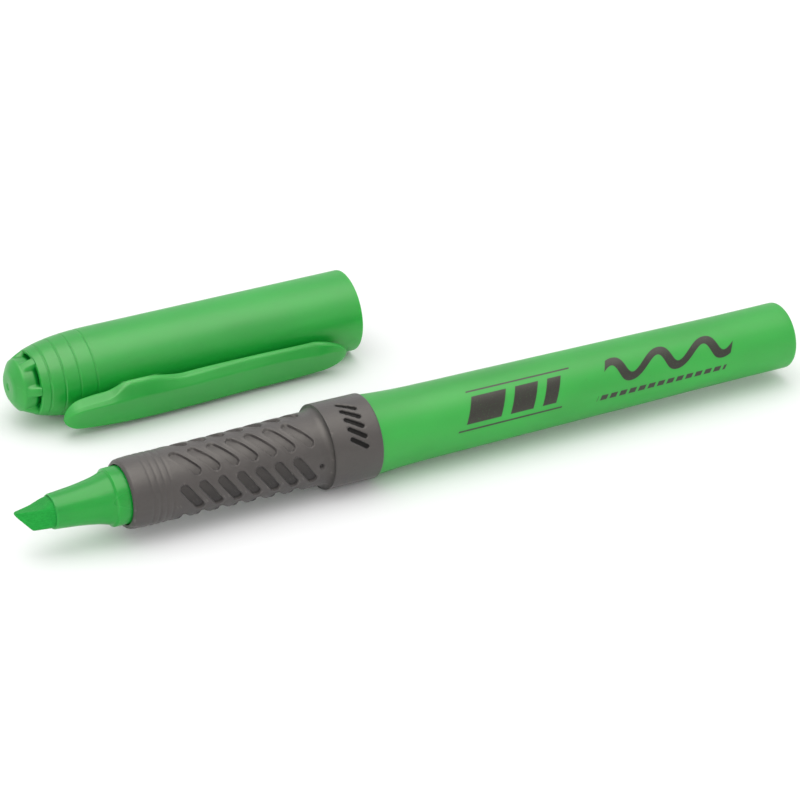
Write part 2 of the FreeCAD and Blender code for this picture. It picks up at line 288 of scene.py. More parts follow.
def grid_object(name, points, ring, sharp=math.radians(40)):
    """Smooth object from rows and columns of points; each row closes on itself.

    With ring the last row joins the first, and otherwise the two end rows are closed by fans.
    """
    rows, columns = points.shape[:2]
    vertices = points.reshape(-1, 3)
    index = np.arange(rows * columns).reshape(rows, columns)
    lower = index if ring else index[:-1]
    upper = np.roll(index, -1, axis=0) if ring else index[1:]
    quads = np.stack([lower, np.roll(lower, -1, 1), np.roll(upper, -1, 1), upper], axis=-1)
    faces = quads.reshape(-1, 4).tolist()
    if not ring:
        ends = np.array([points[0].mean(axis=0), points[-1].mean(axis=0)])
        vertices = np.vstack([vertices, ends])
        for column in range(columns):
            after = (column + 1) % columns
            faces.append([index[0, after], index[0, column], rows * columns])
            faces.append([index[-1, column], index[-1, after], rows * columns + 1])
    mesh = bpy.data.meshes.new(name)
    mesh.from_pydata((vertices * MM).tolist(), [], faces)
    made = bmesh.new()
    made.from_mesh(mesh)
    if made.calc_volume(signed=True) < 0:
        bmesh.ops.reverse_faces(made, faces=made.faces)
    made.to_mesh(mesh)
    made.free()
    mesh.shade_smooth()
    mesh.set_sharp_from_angle(angle=sharp)
    return placed(name, mesh)


def turned(name, outline, columns, ring=True, relief=None, along=0.0, aside=0.0, twist=None):
    """Piece turned about X from an outline of (x, r) points.

    relief(x, r, angle) returns the radius where the piece isn't round. twist gives each
    row of points an extra angle, so that the mesh can follow slanted details.
    """
    line = np.array([point[:2] for point in outline], float)
    angle = np.tile(np.arange(columns) * TURN / columns, (len(line), 1))
    if twist is not None:
        angle = angle + np.array(twist)[:, None]
    x = np.repeat(line[:, :1], columns, axis=1)
    r = np.repeat(line[:, 1:], columns, axis=1)
    if relief is not None:
        r = relief(x, r, angle)
    points = np.stack([x + along, aside - r * np.sin(angle), r * np.cos(angle)], axis=-1)
    return grid_object(name, points, ring)


def bar_distance(x, angle, radius, centre, size, slant):
    """Distance outside the edge of a slanted round-ended bar on an unrolled surface."""
    ahead = x - centre[0]
    around = radius * wrapped(angle - centre[1])
    along = ahead * math.sin(slant) + around * math.cos(slant)
    across = ahead * math.cos(slant) - around * math.sin(slant)
    length, width = size
    beyond = np.maximum(np.abs(along) - (length - width) / 2, 0)
    return np.hypot(beyond, across) - width / 2


# ---------------------------------------------------------------- pen


def chisel_nib():
    """Felt nib: round sections cut by the top bevel, the writing face and two flats."""
    columns = 96
    point_z = 0.8
    heel_x, heel_z = NIB_TIP + 2.6, -2.1
    shoulder_x = NIB_TIP + 6.5
    tail_x = NIB_TAIL - 4.5
    uncut = NIB_R + 1
    x = np.concatenate([
        NIB_TIP + 0.02 + 0.7 * np.linspace(0, 1, 16) ** 1.6,
        np.linspace(NIB_TIP + 0.77, NIB_TIP + 7.5, 70),
        np.linspace(NIB_TIP + 8, tail_x, 20),
        np.linspace(tail_x + 0.1, NIB_TAIL, 12),
    ])
    radius = np.interp(x, [NIB_TIP, shoulder_x], [1.95, NIB_R])
    radius = radius - 0.2 * smoothstep(x, tail_x, tail_x + 0.1)
    radius = radius - 0.5 * smoothstep(x, NIB_TAIL - 0.6, NIB_TAIL + 0.5)
    top = smooth_value([
        (NIB_TIP, 1.2), (NIB_TIP + 1.5, 1.25), (NIB_TIP + 3, 1.32), (NIB_TIP + 4.2, 1.6),
        (NIB_TIP + 5.5, 2.2), (shoulder_x, 2.6),
    ], np.minimum(x, shoulder_x))
    side = smooth_value([
        (NIB_TIP, 0.35), (NIB_TIP + 1.5, 0.8), (NIB_TIP + 3, 1.3), (NIB_TIP + 4.5, 1.8),
        (NIB_TIP + 5.6, 2.25), (shoulder_x, 2.6),
    ], np.minimum(x, shoulder_x))
    top = np.where(x >= shoulder_x, uncut, top)
    side = np.where(x >= shoulder_x, uncut, side)
    fall = (x - NIB_TIP) / (heel_x - NIB_TIP)
    bottom = np.maximum(point_z - fall * (point_z - heel_z), -uncut)
    middle = (np.minimum(top, radius) + np.maximum(bottom, -radius)) / 2

    # each section reaches out from its middle to the nearest of four limits, softly joined
    values = (x, radius, top, side, bottom, middle)
    x, radius, top, side, bottom, middle = (value[:, None] for value in values)
    angle = np.arange(columns) * TURN / columns
    out_y, out_z = -np.sin(angle), np.cos(angle)
    tiny = 1e-6
    limits = [
        -middle * out_z + np.sqrt((middle * out_z) ** 2 + radius**2 - middle**2),
        side / np.maximum(np.abs(out_y), tiny),
        (top - middle) / np.maximum(out_z, tiny),
        (middle - bottom) / np.maximum(-out_z, tiny),
    ]
    hardness = 16
    reach = sum(limit ** -hardness for limit in limits) ** (-1 / hardness)
    tip_length, tip_share = 0.4, 0.4
    blunt = np.clip((x - NIB_TIP) / tip_length, 0, 1)
    reach = reach * (tip_share + (1 - tip_share) * np.sqrt(1 - (1 - blunt) ** 2))
    points = np.stack(
        np.broadcast_arrays(x, reach * out_y, middle + reach * out_z), axis=-1,
    )
    return grid_object("nib", points, ring=False, sharp=math.radians(60))


def nose():
    """Nib holder: its lip, concave cone and sealing ring, and the spigot in the barrel."""
    ring_x = NOSE_LIP + 9.1
    spigot_edge = 0.4
    lip = [
        (NOSE_LIP, NIB_R), (NOSE_LIP, 2.54), (NOSE_LIP + 0.04, 2.61), (NOSE_LIP + 0.13, 2.66),
    ]
    cone = [
        (NOSE_LIP + 0.25, 2.68), (NOSE_LIP + 2.4, 2.87), (NOSE_LIP + 4.4, 3.08),
        (NOSE_LIP + 5.9, 3.3), (NOSE_LIP + 7.4, 3.58), (NOSE_LIP + 8.75, 3.97),
    ]
    ring = filleted([
        cone[-1], (ring_x - 0.15, 4.06, 0.08), (ring_x, SEAL_R - 0.2, 0.1),
        (ring_x + 0.12, SEAL_R - 0.03, 0.12), (ring_x + 1.0, SEAL_R),
    ])[1:-1]
    spigot = filleted([
        (ring_x + 1.0, SEAL_R), (BARREL_FRONT, SEAL_R, 0.1), (BARREL_FRONT, BORE_FRONT_R),
        (SPIGOT_END - spigot_edge, BORE_FRONT_R), (SPIGOT_END, BORE_FRONT_R - spigot_edge),
        (SPIGOT_END, NIB_R),
    ])
    return turned("nose", lip + smooth_run(cone, 0.2) + ring + spigot, 192)


def slot_distance(x, angle):
    """Distance outside the nearest of the grip's slots."""
    distances = []
    for row in range(SLOT_ROWS):
        for number in range(SLOTS_PER_ROW):
            centre = (
                SLOT_FIRST + number * SLOT_PITCH,
                SLOT_ROW_START + row * TURN / SLOT_ROWS,
            )
            distances.append(bar_distance(x, angle, GRIP_LAND_R, centre, SLOT_SIZE, SLOT_SLANT))
    return np.minimum.reduce(distances)


def collar_bar_distance(x, angle):
    """Distance outside the nearest of the collar's bars."""
    slant = math.pi / 2 - SLOT_SLANT
    distances = []
    for number in range(COLLAR_BARS):
        centre = (COLLAR_END / 2, COLLAR_BAR_FIRST + number * COLLAR_BAR_STEP)
        distances.append(bar_distance(x, angle, COLLAR_R, centre, COLLAR_BAR_SIZE, slant))
    return np.minimum.reduce(distances)


def grip_relief(x, r, angle):
    """Slots with raised lips, ridges, a gate mark and collar bars in the grip's outside."""
    skin = r > SKIN_R
    on_collar = (r > COLLAR_R - 0.2) * (x > 0.4)
    slotted = skin * (x > SLOTTED_START) * (x < FLANK_END - FLANK_LENGTH)
    distance = slot_distance(x, angle)
    sunk = 1 - smoothstep(distance, *SLOT_EDGE)
    lip = SLOT_LIP_HEIGHT * np.exp(-((distance - SLOT_LIP_PLACE) / SLOT_LIP_HALF) ** 2)
    r = r + slotted * (lip - SLOT_DEPTH * sunk)
    for number in range(RIDGE_COUNT):
        offset = x - RIDGE_FIRST - number * RIDGE_PITCH
        r = r - RIDGE_DEPTH * np.exp(-((offset / RIDGE_HALF) ** 2)) * skin
    gate = np.hypot(x - GATE_X, GRIP_LAND_R * wrapped(angle - GATE_TURN))
    r = r - GATE_DEPTH * (1 - smoothstep(gate, *GATE_EDGE)) * skin
    engraved = 1 - smoothstep(collar_bar_distance(x, angle), *COLLAR_BAR_EDGE)
    return r - COLLAR_BAR_DEPTH * on_collar * engraved


def grip():
    """Rubber sleeve with its rolled rim, swelling body and collar."""
    front = filleted([
        (GRIP_FRONT, GRIP_BORE_R, 0.08), (GRIP_FRONT, 4.95, 0.2), (GRIP_FRONT + 0.35, 5.24, 0.2),
        (GRIP_FRONT + 1.2, 5.35), (BARREL_FRONT, GRIP_BORE_R),
    ], 6)[:-2]
    plain = smooth_run([
        (GRIP_FRONT + 1.0, 5.33), (GRIP_FRONT + 2.4, GRIP_NECK_R), (SLOTTED_START, GRIP_NECK_R),
    ], 0.14)
    slotted = smooth_run([
        (SLOTTED_START, GRIP_NECK_R), (-22.0, 5.41), (-18.0, 5.44), (-10.0, 5.58),
        (LAND_START, GRIP_LAND_R),
    ], 0.11)
    land = straight((LAND_START, GRIP_LAND_R), (FLANK_END - FLANK_LENGTH, GRIP_LAND_R), 0.14)
    flank = []
    for turn in np.linspace(0, math.pi / 2, 11):
        flank.append((
            FLANK_END + FLANK_LENGTH * (math.sin(turn) - 1),
            GRIP_LAND_R + FLANK_HEIGHT * (1 - math.cos(turn)),
        ))
    collar_back_r = COLLAR_R - 0.03
    step = filleted([
        (FLANK_END, COLLAR_R - 0.3), (FLANK_END, COLLAR_R, 0.05), (0.9, COLLAR_R),
    ], 4)[1:-1]
    collar = straight((FLANK_END + 0.05, COLLAR_R), (COLLAR_END - 0.3, collar_back_r), 0.17)
    back = filleted([
        (COLLAR_END - 0.9, collar_back_r), (COLLAR_END, collar_back_r, 0.3),
        (COLLAR_END, SHOULDER_R - 0.1, 0.05), (COLLAR_END - 0.3, BARREL_COLLAR_R),
    ], 7)[1:-1]
    inside = [
        (COLLAR_END - 0.3, BARREL_COLLAR_R), (BARREL_STEP_X, BARREL_COLLAR_R),
        (BARREL_STEP_X, BARREL_GRIP_R), (BARREL_FRONT, BARREL_GRIP_R),
        (BARREL_FRONT, GRIP_BORE_R),
    ]
    outside = front + plain + slotted[1:] + land + flank + step + collar + back

    # the columns follow the slots' slant, and end a whole turn on, where they meet the inside
    mean_r = 5.55
    turn_per_mm = math.tan(math.pi / 2 - SLOT_SLANT) / mean_r
    twist = [min(TURN, max(0.0, (x - SLOTTED_START) * turn_per_mm)) for x, r in outside]
    twist += [TURN] * len(inside)
    return turned("grip", outside + inside, 268, relief=grip_relief, twist=twist)


def bore_ribs(x, r, angle):
    """Ribs along the wide part of the barrel's bore, faded out at both ends."""
    span = smoothstep(x, BORE_RIB_START, BORE_RIB_START + BORE_RIB_FADE)
    span = span * (1 - smoothstep(x, BORE_RIB_END - BORE_RIB_FADE, BORE_RIB_END))
    across = np.abs(BORE_REAR_R * wrapped(angle, TURN / BORE_RIBS))
    rib = 1 - smoothstep(across, BORE_RIB_HALF, BORE_RIB_HALF + 0.1)
    in_bore = r < BORE_REAR_R + 0.05
    return r - rib * span * in_bore * (BORE_REAR_R - BORE_FRONT_R)


def barrel():
    """Tapered tube, reduced under the grip, with a rounded rear edge."""
    rim_x = REAR_END - 1.5
    under_grip = [
        (BARREL_FRONT, BORE_FRONT_R), (BARREL_FRONT, BARREL_GRIP_R),
        (BARREL_STEP_X, BARREL_GRIP_R), (BARREL_STEP_X, BARREL_COLLAR_R),
        (COLLAR_END - 0.3, BARREL_COLLAR_R), (COLLAR_END, SHOULDER_R - 0.08),
    ]
    shoulder = smooth_run([
        (COLLAR_END + 0.05, SHOULDER_R), (10.2, 6.06), (13.8, 5.87), (19.0, 5.77), (26.0, 5.71),
        (50.0, 5.477), (REAR_END - REAR_LAND, REAR_R), (rim_x, REAR_R),
    ], 0.5)
    rear = filleted([
        (rim_x, REAR_R), (REAR_END, REAR_R, 0.7), (REAR_END, BORE_REAR_R, 0.12),
        (rim_x, BORE_REAR_R),
    ], 8)[1:]
    half_fade = BORE_RIB_FADE / 2
    rib_back = BORE_RIB_END - BORE_RIB_FADE
    rib_front = BORE_RIB_START + BORE_RIB_FADE
    bore = straight((rim_x, BORE_REAR_R), (BORE_RIB_END + 1.0, BORE_REAR_R), 3.0)
    for x in (BORE_RIB_END + 0.4, BORE_RIB_END, BORE_RIB_END - half_fade, rib_back):
        bore.append((x, BORE_REAR_R))
    bore += straight((rib_back, BORE_REAR_R), (rib_front, BORE_REAR_R), 4.0)
    for x in (rib_front, BORE_RIB_START + half_fade, BORE_RIB_START, 3.0):
        bore.append((x, BORE_REAR_R))
    bore.append((1.0, BORE_FRONT_R))
    return turned("barrel_tube", under_grip + shoulder + rear + bore, 240, relief=bore_ribs)


def rear_plug():
    """Plug in the rear of the barrel: a ring groove and a gate mark in its face."""
    axis_r = 0.05
    inside_r = PLUG_R - 0.9
    inside_x = REAR_END - 1.2
    groove_x = REAR_END - 0.14
    gate_x = REAR_END - 0.1
    outline = filleted([
        (inside_x, axis_r), (inside_x, inside_r, 0.3), (PLUG_START, inside_r, 0.1),
        (PLUG_START, PLUG_R, 0.2), (REAR_END, PLUG_R, 0.2), (REAR_END, 3.75, 0.06),
        (groove_x, 3.65, 0.05), (groove_x, 3.45, 0.05), (REAR_END, 3.35, 0.06),
        (REAR_END, 0.75, 0.08), (gate_x, 0.6, 0.06), (gate_x, axis_r),
    ], 4)
    return turned("rear_plug_face", outline, 144, ring=False)


# ---------------------------------------------------------------- cap


def cap_outline(x):
    """Radius of the cap's rounded end at a distance from its closed end."""
    along_power, round_power = CAP_ROUND_POWERS
    reach = np.minimum(x, CAP_ROUND_LENGTH) / CAP_ROUND_LENGTH
    return CAP_R * (1 - (1 - reach) ** along_power) ** (1 / round_power)


def cap_run(start, end, spacing):
    """Points on the cap's rounded end, from one place along it to another."""
    return [(x, cap_outline(x)) for x in np.arange(start, end, spacing)]


def shell_relief(x, r, angle):
    """Fine grooves round the cap's rounded end, and the low hump that carries the clip."""
    outside = r > cap_outline(x) - 0.05
    for groove in GROOVES:
        r = r - GROOVE_DEPTH * np.exp(-(((x - groove) / GROOVE_HALF) ** 4)) * outside
    turn = np.abs(wrapped(angle - math.pi / 2 - CLIP_TURN))
    across = 1 - smoothstep(turn, FOOT_HALF - FOOT_EDGE, FOOT_HALF + FOOT_EDGE)
    along = smoothstep(x, *FOOT_RISE) * (1 - smoothstep(x, *FOOT_FALL))
    return r + (FOOT_R - CAP_R) * along * across * outside


def shell():
    """Outer tube of the cap."""
    rim_x = CAP_LENGTH - 0.5
    foot_end = FOOT_FALL[1] + 1.0
    bore_end = 27.2
    outside = cap_run(SHELL_START + 0.12, GROOVES[-1] + 0.6, 0.07)
    outside += cap_run(GROOVES[-1] + 0.7, CAP_ROUND_LENGTH, 0.17)
    outside += straight((CAP_ROUND_LENGTH, CAP_R), (foot_end, CAP_R), 0.17)
    outside += straight((foot_end, CAP_R), (rim_x, CAP_R), 1.5)
    mouth = filleted([
        (rim_x, CAP_R), (CAP_LENGTH, CAP_R, 0.2), (CAP_LENGTH, CAP_BORE_R + 0.12, 0.2),
        (rim_x, CAP_BORE_R),
    ], 7)
    bore = straight((rim_x, CAP_BORE_R), (bore_end, CAP_BORE_R), 2.0)
    bore += [
        (bore_end, CAP_BORE_R), (26.8, 5.78), (20.0, 5.72), (16.5, 5.62), (13.0, 5.5),
        (8.0, 4.85), (SHELL_START + 0.05, 4.49),
    ]
    edge = [(SHELL_START, 4.55), (SHELL_START, 4.85), (SHELL_START + 0.03, 5.0)]
    outline = outside + mouth + bore + edge
    return turned("cap_tube", outline, 300, relief=shell_relief, along=CAP_END_X, aside=CAP_Y)


def cap_teeth(x, r, angle):
    """Teeth that join the button to the shell, with notches between them."""
    turn = np.abs(wrapped(angle - TOOTH_FIRST, TURN / TEETH))
    tooth = 1 - smoothstep(turn, TOOTH_HALF - TOOTH_EDGE, TOOTH_HALF + TOOTH_EDGE)
    in_view = cap_outline(np.maximum(x, 0)) - 0.04
    in_shell = TOOTH_SEAT_R + (x - SHELL_START) * TOOTH_SEAT_SLOPE
    tooth_r = np.where(x < SHELL_START, in_view, in_shell)
    toothed = (x > TOOTH_START + 0.02) * (x < TOOTH_END) * (r > NECK_R - 0.3)
    return np.where(toothed, r + (np.maximum(tooth_r, r) - r) * tooth, r)


def liner():
    """Inner cap: the notched button at the end and the sealing cup inside."""
    dimple = [
        (BUTTON_START + 0.14, 0.05), (BUTTON_START + 0.14, 0.5), (BUTTON_START + 0.03, 0.62),
        (BUTTON_START, 0.72), (BUTTON_START, 1.3), (BUTTON_START, 1.8),
    ]
    rise = smooth_run([
        (BUTTON_START + 0.01, 1.95), (BUTTON_START + 0.12, 2.35), (BUTTON_START + 0.35, 2.78),
        (BUTTON_START + 0.65, 3.28), (BUTTON_START + 0.95, 3.72), (TOOTH_START - 0.12, 4.0),
    ], 0.06)
    notch_r = NECK_R + NOTCH_RISE
    button_edge = filleted([
        rise[-1], (TOOTH_START, cap_outline(TOOTH_START), 0.08),
        (TOOTH_START + 0.1, notch_r, 0.1), (TOOTH_START + 0.5, notch_r),
    ])[1:-1]
    neck_end = 7.4
    neck = []
    for x in np.arange(TOOTH_START + 0.25, neck_end, 0.1):
        raised = 1 - float(smoothstep(x, SHELL_START - 0.6, SHELL_START + 0.9))
        neck.append((x, NECK_R + NOTCH_RISE * raised))
    cup = smooth_run([
        (neck_end, NECK_R + 0.1), (9.0, 4.3), (11.0, 4.85), (12.5, LINER_R),
    ], 0.4)
    cup += straight((12.5, LINER_R), (LINER_END - 0.5, LINER_R), 1.5)
    lip = filleted([
        (LINER_END - 0.5, LINER_R), (LINER_END, LINER_R, 0.15),
        (LINER_END, LINER_BORE_R + 0.1, 0.15), (LINER_END - 0.5, LINER_BORE_R),
    ])
    bore = [
        (13.0, LINER_BORE_R), (11.5, 4.0), (10.0, 3.4), (8.0, 2.4), (3.1, 2.4), (2.8, 2.1),
        (2.8, 0.05),
    ]
    outline = dimple + rise + button_edge + neck + cup + lip + bore
    return turned(
        "cap_button_and_cup", outline, 240, ring=False, relief=cap_teeth,
        along=CAP_END_X, aside=CAP_Y,
    )


def end_rounding(place, length_start, length_end):
    """Factor that rounds both ends of the clip like an ellipse."""
    from_start = np.clip((place - CLIP_START) / length_start, 0, 1)
    from_end = np.clip((CLIP_END - place) / length_end, 0, 1)
    return np.sqrt(1 - (1 - from_start) ** 2) * np.sqrt(1 - (1 - from_end) ** 2)


def clip_section(upper, lower, low, high, cut):
    """Rounded (across, outward) outline with a bevel at its upper outer corner.

    A section under the full width or thickness, as at the clip's ends, has smaller corners.
    """
    full_width, full_thickness = 5.2, 1.9
    arc_steps, side_steps = 6, 8
    size = min(1.0, (upper + lower) / full_width, (high - low) / full_thickness)
    cut = cut * size
    least_side = 0.8 * size
    bevel_depth = min(0.5 + 0.55 * cut, high - low - least_side) * size
    bend = 0.6 * min(cut, bevel_depth)
    outer_bend, inner_bend = 0.3 * size, 0.35 * size
    arcs = filleted([
        (upper, low, inner_bend), (upper, high - bevel_depth, bend),
        (upper - cut, high, bend), (-lower, high, outer_bend), (-lower, low, inner_bend),
    ], arc_steps)
    points = []
    for number, point in enumerate(arcs):
        points.append(point)
        arc_ends = number % (arc_steps + 1) == arc_steps
        if arc_ends:
            after = arcs[(number + 1) % len(arcs)]
            for share in np.linspace(0, 1, side_steps + 1)[1:-1]:
                points.append(tuple(np.array(point) * (1 - share) + np.array(after) * share))
    return points


def clip():
    """Pocket clip: crowned blade, bevelled above, with a bulge over its foot and a nub inside.

    Its faces are at the distances outer and inner from the cap's axis, and its edges at the
    distances upper and lower from its centre line, by their place along the cap.
    """
    tiny = 0.004
    end_length = 2.5
    ends = 2.4 * np.linspace(0, 1, 26) ** 2
    nub_start = 45.5
    place = np.concatenate([
        CLIP_START + tiny + ends, np.arange(CLIP_START + end_length, nub_start, 0.3),
        np.arange(nub_start, CLIP_END - end_length, 0.15), CLIP_END - tiny - ends[::-1],
    ])
    outer = smooth_value([
        (CLIP_START, 10.0), (9.0, 10.2), (12.0, 10.33), (20.0, 10.4), (29.0, 10.15),
        (39.0, 9.55), (50.0, 9.2), (CLIP_END, 9.0),
    ], place)
    inner = smooth_value([
        (CLIP_START, 8.3), (9.5, 7.85), (13.0, 7.7), (17.5, 7.95), (22.0, 8.1), (29.0, 7.9),
        (40.0, 7.65), (46.5, 7.48), (48.4, 7.36), (50.0, 7.22), (52.0, 7.6), (CLIP_END, 8.4),
    ], place)
    upper = smooth_value([
        (CLIP_START, 2.3), (11.5, 2.75), (15.5, 3.05), (21.0, 3.3), (29.0, 3.5), (38.0, 3.35),
        (47.0, 2.95), (52.0, 2.5), (CLIP_END, 2.2),
    ], place)
    lower = smooth_value([
        (CLIP_START, 1.6), (9.5, 1.8), (12.5, 2.05), (16.0, 2.3), (21.0, 2.45), (29.0, 2.55),
        (37.0, 2.75), (45.0, 2.9), (CLIP_END, 2.6),
    ], place)
    cut = smooth_value([
        (CLIP_START, 0.4), (15.0, 0.5), (27.0, 1.0), (40.0, 1.15), (CLIP_END, 1.7),
    ], place)
    bulge = BULGE * smoothstep(place, *BULGE_RISE) * (1 - smoothstep(place, *BULGE_FALL))
    narrow = end_rounding(place, 3.0, 4.6)
    upper = (upper + bulge) * narrow
    lower = lower * narrow
    cut = cut + bulge
    middle = (outer + inner) / 2
    thick = (outer - inner) / 2 * end_rounding(place, 2.0, 1.4)
    sections = zip(upper, lower, middle - thick, middle + thick, cut)
    section = np.array([clip_section(*sizes) for sizes in sections])
    across, out = section[..., 0], section[..., 1]
    shift = ((upper - lower) / 2)[:, None]
    half = ((upper + lower) / 2)[:, None]
    crown = CLIP_CROWN * np.minimum(1, half / 2) * (1 - ((across - shift) / half) ** 2)
    out = out + crown * (out > middle[:, None])
    x = CAP_END_X + np.repeat(place[:, None], across.shape[1], axis=1)
    y = CAP_Y - out * math.cos(CLIP_TURN) - across * math.sin(CLIP_TURN)
    z = -out * math.sin(CLIP_TURN) + across * math.cos(CLIP_TURN)
    return grid_object("pocket_clip", np.stack([x, y, z], axis=-1), ring=False)


# ---------------------------------------------------------------- materials


def colour(red, green, blue):
    """Linear colour from sRGB numbers of 0 to 255."""
    linear = []
    for value in (red, green, blue):
        share = value / 255
        linear.append(share / 12.92 if share <= 0.04045 else ((share + 0.055) / 1.055) ** 2.4)
    return (*linear, 1.0)


def shade(base, factor, lift=0.0):
    """Linear colour made lighter or darker, with a little white added by lift."""
    return tuple(min(1.0, share * factor + lift) for share in base[:3]) + (1.0,)


INK = colour(14, 15, 13)
INK_ROUGHNESS = 0.32
WARM_SHINE = (1.0, 0.94, 0.84, 1.0)


class Graph:
    """Short ways to write one material's nodes."""

    def __init__(self, name):
        self.material = bpy.data.materials.new(name)
        self.material.use_nodes = True
        self.tree = self.material.node_tree
        self.surface = self.tree.nodes["Principled BSDF"]
        metres = self.node("ShaderNodeTexCoord").outputs["Object"]
        self.mm = self.vector("SCALE", metres, scale=1 / MM)

    def node(self, kind, **settings):
        made = self.tree.nodes.new(kind)
        for name, value in settings.items():
            setattr(made, name, value)
        return made

    def feed(self, socket, value):
        if isinstance(value, bpy.types.NodeSocket):
            self.tree.links.new(value, socket)
        else:
            socket.default_value = value

    def vector(self, operation, *values, scale=None):
        made = self.node("ShaderNodeVectorMath", operation=operation)
        for number, value in enumerate(values):
            self.feed(made.inputs[number], value)
        if scale is not None:
            made.inputs["Scale"].default_value = scale
        return made.outputs["Vector"]

    def maths(self, operation, *values):
        made = self.node("ShaderNodeMath", operation=operation)
        for number, value in enumerate(values):
            self.feed(made.inputs[number], value)
        return made.outputs["Value"]

    def plus(self, first, second):
        return self.maths("ADD", first, second)

    def minus(self, first, second):
        return self.maths("SUBTRACT", first, second)

    def times(self, first, second):
        return self.maths("MULTIPLY", first, second)

    def axes(self):
        """Place along X, Y and Z, in millimetres."""
        made = self.node("ShaderNodeSeparateXYZ")
        self.feed(made.inputs["Vector"], self.mm)
        return made.outputs

    def noise(self, per_mm, detail=3.0, stretch=(1, 1, 1), rough=0.55):
        """Noise from 0 to 1, with that many features to a millimetre."""
        made = self.node("ShaderNodeTexNoise")
        self.feed(made.inputs["Vector"], self.vector("MULTIPLY", self.mm, stretch))
        made.inputs["Scale"].default_value = per_mm
        made.inputs["Detail"].default_value = detail
        made.inputs["Roughness"].default_value = rough
        return made.outputs["Fac"]

    def ramp(self, value, low, high, to_low=0.0, to_high=1.0):
        """Value from one range to another, held at both ends."""
        made = self.node("ShaderNodeMapRange")
        for name, item in zip(
            ("Value", "From Min", "From Max", "To Min", "To Max"),
            (value, low, high, to_low, to_high),
        ):
            self.feed(made.inputs[name], item)
        return made.outputs["Result"]

    def mix(self, share, first, second):
        made = self.node("ShaderNodeMix", data_type="RGBA")
        self.feed(made.inputs[0], share)
        self.feed(made.inputs[6], first)
        self.feed(made.inputs[7], second)
        return made.outputs[2]

    def bump(self, height, depth_mm, after=None):
        made = self.node("ShaderNodeBump")
        made.inputs["Strength"].default_value = 1.0
        made.inputs["Distance"].default_value = depth_mm * MM
        self.feed(made.inputs["Height"], height)
        if after is not None:
            self.feed(made.inputs["Normal"], after)
        return made.outputs["Normal"]

    def edges(self):
        """Share from 0 in hollows through about 0.5 on flats to 1 on ridges."""
        return self.node("ShaderNodeNewGeometry").outputs["Pointiness"]

    def finish(self, **inputs):
        for name, value in inputs.items():
            self.feed(self.surface.inputs[name.replace("_", " ")], value)
        return self.material


def moulded(name, base, rough, shine, gloss=0.0, ink=None):
    """Injection-moulded plastic: faint flow, speckle, scuffs, worn edges and a fine grain.

    rough is its roughness, shine the strength of its reflections and gloss the weight of a clear
    coat. ink(graph) returns the share of printing ink that covers the plastic.
    """
    g = Graph(name)
    light = shade(base, 1.12, lift=0.004)
    dark = shade(base, 0.9)
    pale = shade(base, 1.15, lift=0.03)
    flow = g.noise(per_mm=0.12, detail=2.0, stretch=(0.35, 1, 1))
    speckle = g.ramp(g.noise(per_mm=1.6, detail=2.0), 0.62, 0.75, to_high=0.35)
    worn = g.ramp(g.edges(), 0.58, 0.68, to_high=0.35)
    scuff = g.ramp(g.noise(per_mm=0.5, detail=5.0, stretch=(0.12, 1, 1), rough=0.7), 0.6, 0.72)
    tone = g.mix(g.ramp(flow, 0.3, 0.7), dark, light)
    tone = g.mix(speckle, tone, dark)
    tone = g.mix(worn, tone, pale)
    roughness = g.ramp(flow, 0.2, 0.8, to_low=rough - 0.05, to_high=rough + 0.05)
    roughness = g.plus(roughness, g.times(scuff, 0.09))
    if ink is not None:
        printed = ink(g)
        tone = g.mix(printed, tone, INK)
        roughness = g.ramp(printed, 0.0, 1.0, to_low=roughness, to_high=INK_ROUGHNESS)
    grain = g.bump(g.noise(per_mm=5.0, detail=2.0), depth_mm=0.006)
    waves = g.bump(g.noise(per_mm=0.35, detail=1.0), depth_mm=0.03, after=grain)
    return g.finish(
        Base_Color=tone, Roughness=roughness, Normal=waves, Coat_Weight=gloss,
        Coat_Roughness=0.12, Subsurface_Weight=0.45, Subsurface_Scale=0.0025,
        Subsurface_Radius=(0.3, 1.0, 0.4), Specular_IOR_Level=shine, Specular_Tint=WARM_SHINE,
    )


